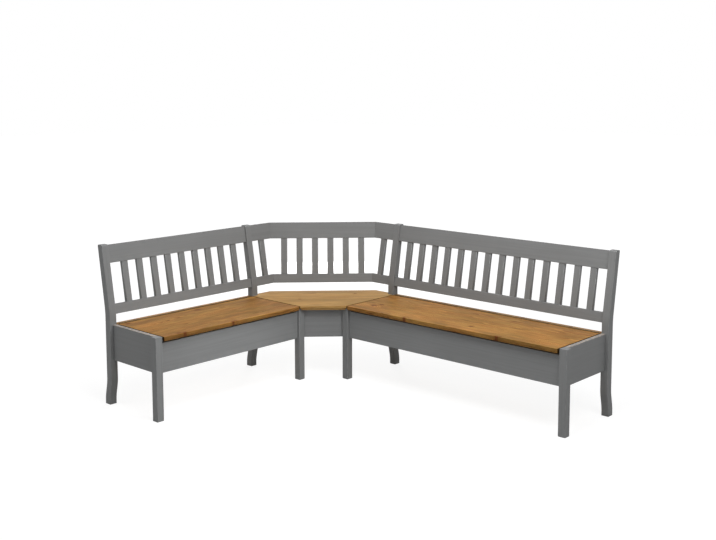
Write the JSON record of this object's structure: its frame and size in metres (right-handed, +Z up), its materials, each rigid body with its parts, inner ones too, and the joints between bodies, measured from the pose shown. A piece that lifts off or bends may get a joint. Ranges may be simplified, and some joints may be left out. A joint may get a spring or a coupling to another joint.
{
  "type": "corner storage bench",
  "caption": "L-shaped slatted wooden corner bench with two lift-up storage seats and a fixed corner seat.",
  "frame": {"origin": "middle of the plan box, at floor level", "axes": "+X along the long bench away from the corner, -Y along the short bench away from the corner, +Z up"},
  "size_m": [2.3048, 1.8248, 0.927],
  "materials": {
    "grey_paint": "satin grey paint on pine, grain just showing",
    "stained_pine": "satin varnish on honey-stained glued pine boards with knots",
    "plywood": "bare sanded plywood",
    "hinge_metal": "brassed, slightly dulled"
  },
  "bodies": {
    "bench": {"right_rear_post_inner": "grey_paint", "right_rear_post_outer": "grey_paint", "right_front_leg_inner": "grey_paint", "right_front_leg_outer": "grey_paint", "right_end_panel_inner": "grey_paint", "right_end_panel_outer": "grey_paint", "right_front_panel": "grey_paint", "right_rear_panel": "grey_paint", "right_floor_board": "plywood", "right_rear_strip": "stained_pine", "right_hinge_fixed_leaf": "hinge_metal", "right_top_rail": "grey_paint", "right_bottom_rail": "grey_paint", "right_slat_1": "grey_paint", "right_slat_2": "grey_paint", "right_slat_3": "grey_paint", "right_slat_4": "grey_paint", "right_slat_5": "grey_paint", "right_slat_6": "grey_paint", "right_slat_7": "grey_paint", "right_slat_8": "grey_paint", "right_slat_9": "grey_paint", "right_slat_10": "grey_paint", "right_slat_11": "grey_paint", "right_slat_12": "grey_paint", "right_slat_13": "grey_paint", "right_slat_14": "grey_paint", "left_rear_post_inner": "grey_paint", "left_rear_post_outer": "grey_paint", "left_front_leg_inner": "grey_paint", "left_front_leg_outer": "grey_paint", "left_end_panel_inner": "grey_paint", "left_end_panel_outer": "grey_paint", "left_front_panel": "grey_paint", "left_rear_panel": "grey_paint", "left_floor_board": "plywood", "left_rear_strip": "stained_pine", "left_hinge_fixed_leaf": "hinge_metal", "left_top_rail": "grey_paint", "left_bottom_rail": "grey_paint", "left_slat_1": "grey_paint", "left_slat_2": "grey_paint", "left_slat_3": "grey_paint", "left_slat_4": "grey_paint", "left_slat_5": "grey_paint", "left_slat_6": "grey_paint", "left_slat_7": "grey_paint", "left_slat_8": "grey_paint", "left_slat_9": "grey_paint", "corner_seat": "stained_pine", "corner_apron": "grey_paint", "corner_bearer": "grey_paint", "corner_top_rail": "grey_paint", "corner_slat_comb": "grey_paint", "corner_right_wing": "grey_paint", "corner_left_wing": "grey_paint"},
    "right_lid": {"right_seat_lid": "stained_pine", "right_hinge_lid_leaf": "hinge_metal"},
    "left_lid": {"left_seat_lid": "stained_pine", "left_hinge_lid_leaf": "hinge_metal"}
  },
  "joints": [
    {"name": "right_lid_hinge", "type": "hinge", "parent": "bench", "child": "right_lid", "pos_m": [0.35229, 0.80611, 0.4733], "axis": [-1, 0, 0], "range_deg": [0, 100]},
    {"name": "left_lid_hinge", "type": "hinge", "parent": "bench", "child": "left_lid", "pos_m": [-1.04611, -0.35229, 0.4733], "axis": [0, -1, 0], "range_deg": [0, 100]}
  ]
}
